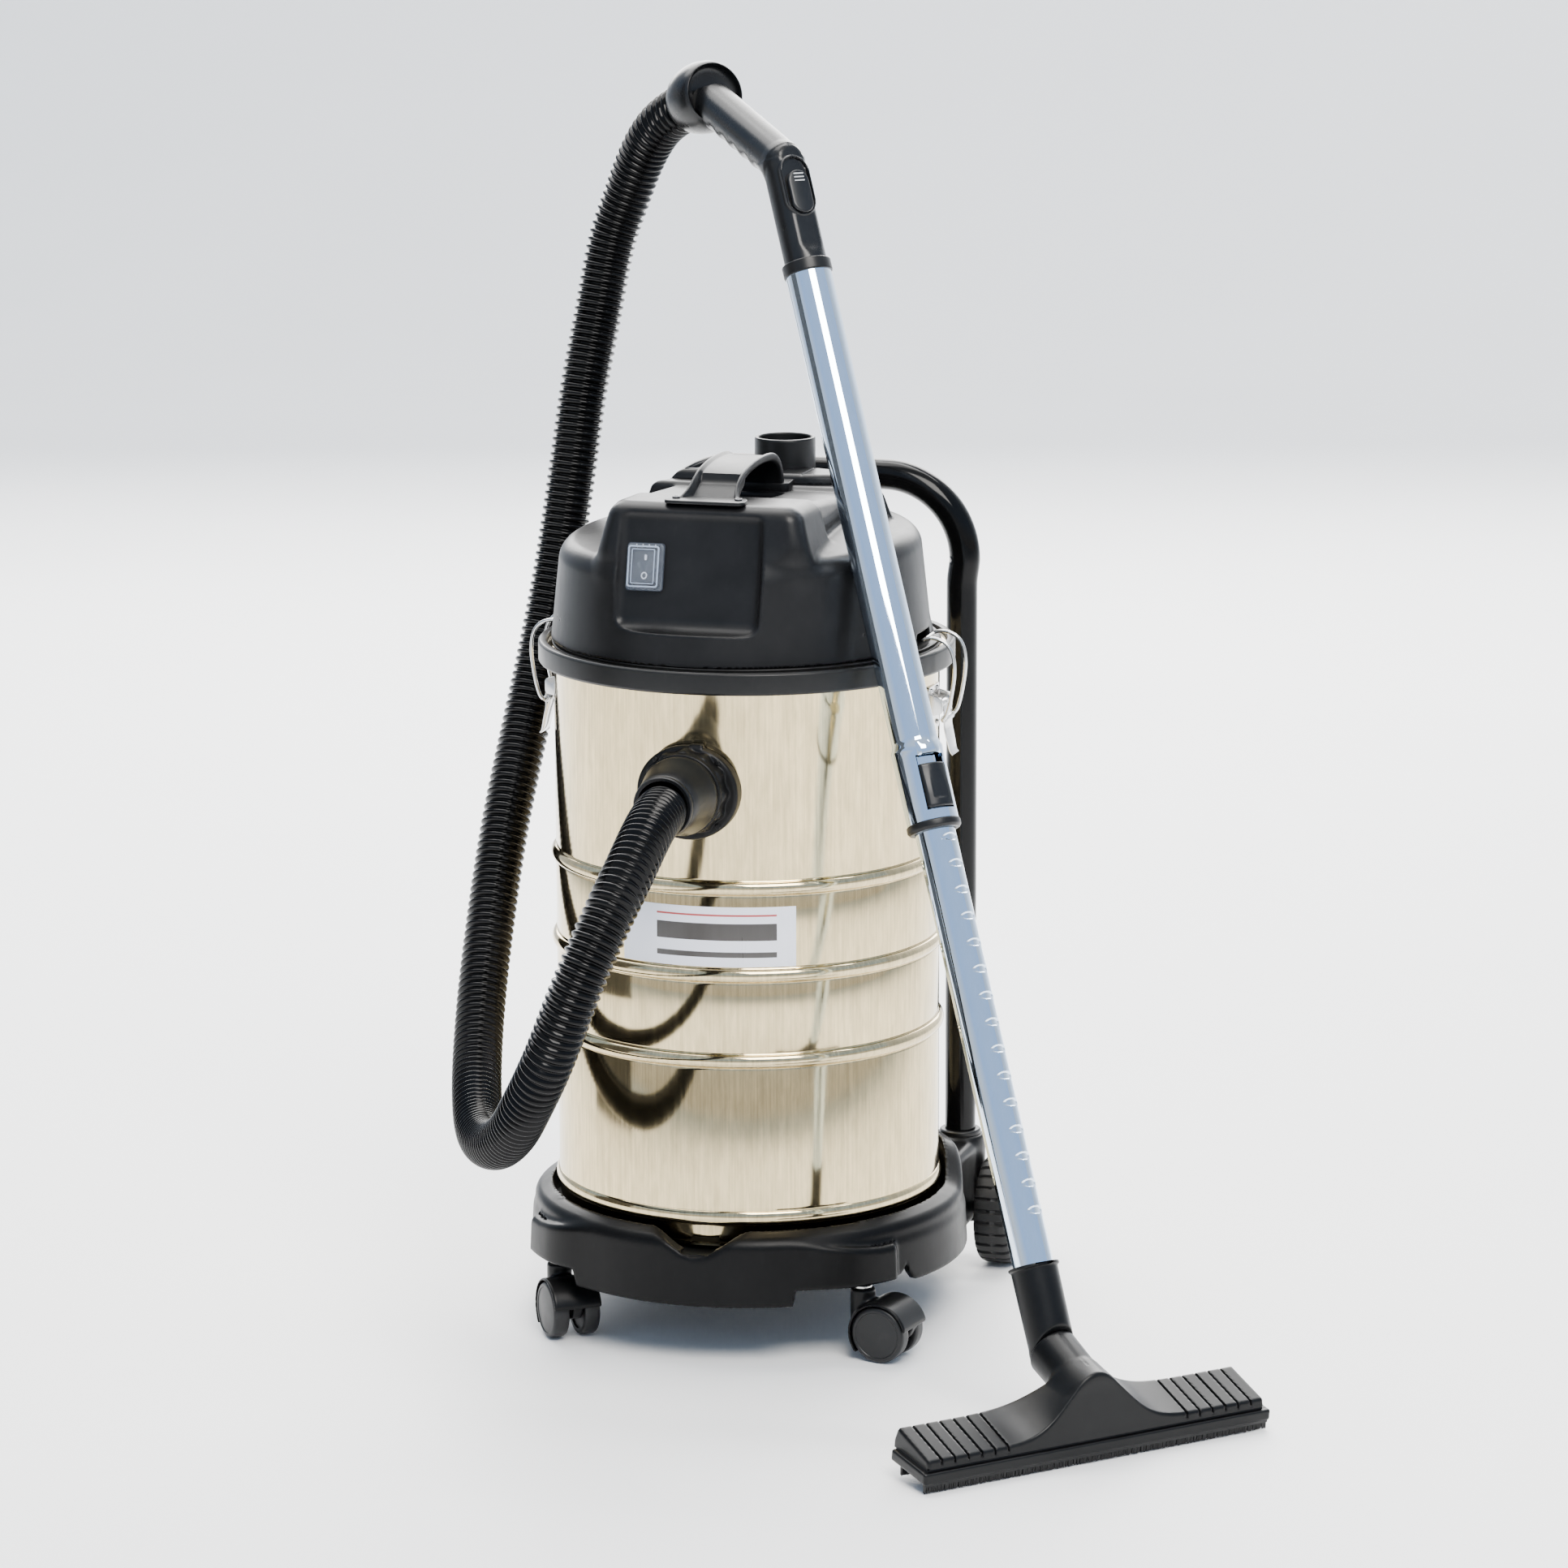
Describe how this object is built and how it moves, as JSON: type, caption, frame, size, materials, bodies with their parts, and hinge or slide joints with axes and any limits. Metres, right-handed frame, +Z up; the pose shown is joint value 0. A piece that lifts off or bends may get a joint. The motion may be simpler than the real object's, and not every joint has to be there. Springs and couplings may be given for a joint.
{
  "type": "shop vacuum",
  "caption": "Wet and dry shop vacuum: round steel tank on a wheeled dolly, motor head with grip, corrugated hose, telescopic wand and wide floor tool.",
  "frame": {"origin": "centre of the bounding box at floor level, measured without the hose", "axes": "+Z up; -Y is the front, with the switch and the hose inlet; +X is the right of the machine seen from the front, where the floor tool stands"},
  "size_m": [0.7737, 0.7175, 1.107],
  "materials": {
    "black_plastic": "satin",
    "black_gloss": "gloss",
    "steel": "bright",
    "caster_tread": "satin",
    "tyre": "matte",
    "tank_steel": "mirror polished",
    "ring_plastic": "satin",
    "label": "gloss",
    "gasket_rubber": "matte",
    "head_plastic": "satin",
    "switch": "gloss",
    "clear_boot": "clear",
    "motor_metal": "satin",
    "cage_plastic": "matte",
    "filter_paper": "matte",
    "float_plastic": "matte",
    "tool_plastic": "satin",
    "bristle": "matte",
    "wand_chrome": "mirror polished",
    "handle_plastic": "satin",
    "hose": "gloss"
  },
  "bodies": {
    "machine": {"dolly_base": "black_plastic", "handle_collars": "black_plastic", "push_handle": "black_gloss", "rear_axle": "steel", "axle_caps": "black_plastic", "tank_shell": "tank_steel", "tank_ring": "ring_plastic", "tank_label": "label", "inlet_flange": "black_gloss", "inlet_screws": "steel", "inlet_cuff": "black_gloss", "latch_bracket_left": "steel", "latch_bracket_right": "steel", "head_gasket": "gasket_rubber", "motor_plate": "ring_plastic", "head_cover": "head_plastic", "exhaust_cover": "head_plastic", "blower_port": "head_plastic", "carry_handle": "head_plastic", "handle_screws": "steel", "cable_gland": "gasket_rubber", "switch_frame": "head_plastic", "switch_boot": "clear_boot", "fan_housing": "motor_metal", "motor_body": "motor_metal", "filter_cage": "cage_plastic", "filter_cartridge": "filter_paper", "hose_lower": "hose"},
    "caster_left": {"caster_fork_left": "black_plastic", "caster_stem_left": "steel"},
    "caster_wheels_l": {"caster_wheels_left": "caster_tread"},
    "caster_right": {"caster_fork_right": "black_plastic", "caster_stem_right": "steel"},
    "caster_wheels_r": {"caster_wheels_right": "caster_tread"},
    "wheel_left": {"rear_tyre_left": "tyre", "rear_hub_left": "black_plastic"},
    "wheel_right": {"rear_tyre_right": "tyre", "rear_hub_right": "black_plastic"},
    "lever_left": {"latch_lever_left": "steel"},
    "wire_left": {"latch_wire_left": "steel"},
    "lever_right": {"latch_lever_right": "steel"},
    "wire_right": {"latch_wire_right": "steel"},
    "rocker": {"switch_rocker": "switch"},
    "rotor": {"impeller": "motor_metal", "motor_shaft": "motor_metal"},
    "float": {"float_ball": "float_plastic"},
    "wand": {"wand_upper": "wand_chrome", "wand_end_ring": "ring_plastic", "wand_top_trim": "ring_plastic", "hose_handle": "handle_plastic", "hose_bell": "handle_plastic", "hose_upper": "hose"},
    "wand_tip": {"wand_lower": "wand_chrome", "neck_elbow": "tool_plastic"},
    "tool": {"floor_tool": "tool_plastic", "brush_strips": "bristle"},
    "lock_button": {"wand_lock_button": "ring_plastic"},
    "slider": {"air_slider": "handle_plastic"}
  },
  "joints": [
    {"name": "caster_swivel_left", "type": "hinge", "parent": "machine", "child": "caster_left", "pos_m": [-0.302, -0.001, 0.07], "axis": [0, 0, 1], "continuous": true},
    {"name": "caster_roll_left", "type": "hinge", "parent": "caster_left", "child": "caster_wheels_l", "pos_m": [-0.28722, -0.01991, 0.025], "axis": [0.788, 0.6157, 0], "continuous": true},
    {"name": "caster_swivel_right", "type": "hinge", "parent": "machine", "child": "caster_right", "pos_m": [-0.022, -0.001, 0.07], "axis": [0, 0, 1], "continuous": true},
    {"name": "caster_roll_right", "type": "hinge", "parent": "caster_right", "child": "caster_wheels_r", "pos_m": [0.00156, -0.00558, 0.025], "axis": [0.1908, 0.9816, 0], "continuous": true},
    {"name": "wheel_roll_left", "type": "hinge", "parent": "machine", "child": "wheel_left", "pos_m": [-0.349, 0.308, 0.05], "axis": [1, 0, 0], "continuous": true},
    {"name": "wheel_roll_right", "type": "hinge", "parent": "machine", "child": "wheel_right", "pos_m": [0.025, 0.308, 0.05], "axis": [1, 0, 0], "continuous": true},
    {"name": "latch_lever_left", "type": "hinge", "parent": "machine", "child": "lever_left", "pos_m": [-0.341, 0.119, 0.56], "axis": [0, 1, 0], "range_deg": [0, 100]},
    {"name": "latch_wire_left", "type": "hinge", "parent": "lever_left", "child": "wire_left", "pos_m": [-0.345, 0.119, 0.547], "axis": [0, 1, 0], "range_deg": [-150, 0]},
    {"name": "latch_lever_right", "type": "hinge", "parent": "machine", "child": "lever_right", "pos_m": [0.017, 0.119, 0.56], "axis": [0, -1, 0], "range_deg": [0, 100]},
    {"name": "latch_wire_right", "type": "hinge", "parent": "lever_right", "child": "wire_right", "pos_m": [0.021, 0.119, 0.547], "axis": [0, -1, 0], "range_deg": [-150, 0]},
    {"name": "switch_rock", "type": "hinge", "parent": "machine", "child": "rocker", "pos_m": [-0.21, -0.01725, 0.69147], "axis": [1, 0, 0], "range_deg": [0, 14]},
    {"name": "impeller_spin", "type": "hinge", "parent": "machine", "child": "rotor", "pos_m": [-0.162, 0.119, 0.62], "axis": [0, 0, 1], "continuous": true},
    {"name": "float_rise", "type": "slide", "parent": "machine", "child": "float", "axis": [0, 0, 1], "range_m": [0, 0.055]},
    {"name": "wand_lean", "type": "hinge", "parent": "machine", "child": "wand", "pos_m": [0.246, -0.233, 0], "axis": [0.6884, 0.7254, 0], "range_deg": [0, 10], "deforming": ["hose_lower", "hose_upper"]},
    {"name": "wand_telescope", "type": "slide", "parent": "wand", "child": "wand_tip", "axis": [-0.3066, 0.2909, 0.9063], "range_m": [0, 0.36]},
    {"name": "lock_slide", "type": "slide", "parent": "wand", "child": "lock_button", "axis": [-0.3066, 0.2909, 0.9063], "range_m": [0, 0.006]},
    {"name": "tool_swivel", "type": "hinge", "parent": "wand_tip", "child": "tool", "pos_m": [0.1938, -0.18347, 0.07531], "axis": [-0.6726, 0.6382, 0.3746], "range_deg": [-90, 90]},
    {"name": "air_slide", "type": "slide", "parent": "wand", "child": "slider", "axis": [-0.3066, 0.2909, 0.9063], "range_m": [0, 0.012]}
  ],
  "couplings": [
    {"joint": "latch_wire_left", "follows": "latch_lever_left", "ratio": -1.5},
    {"joint": "latch_wire_right", "follows": "latch_lever_right", "ratio": -1.5}
  ]
}
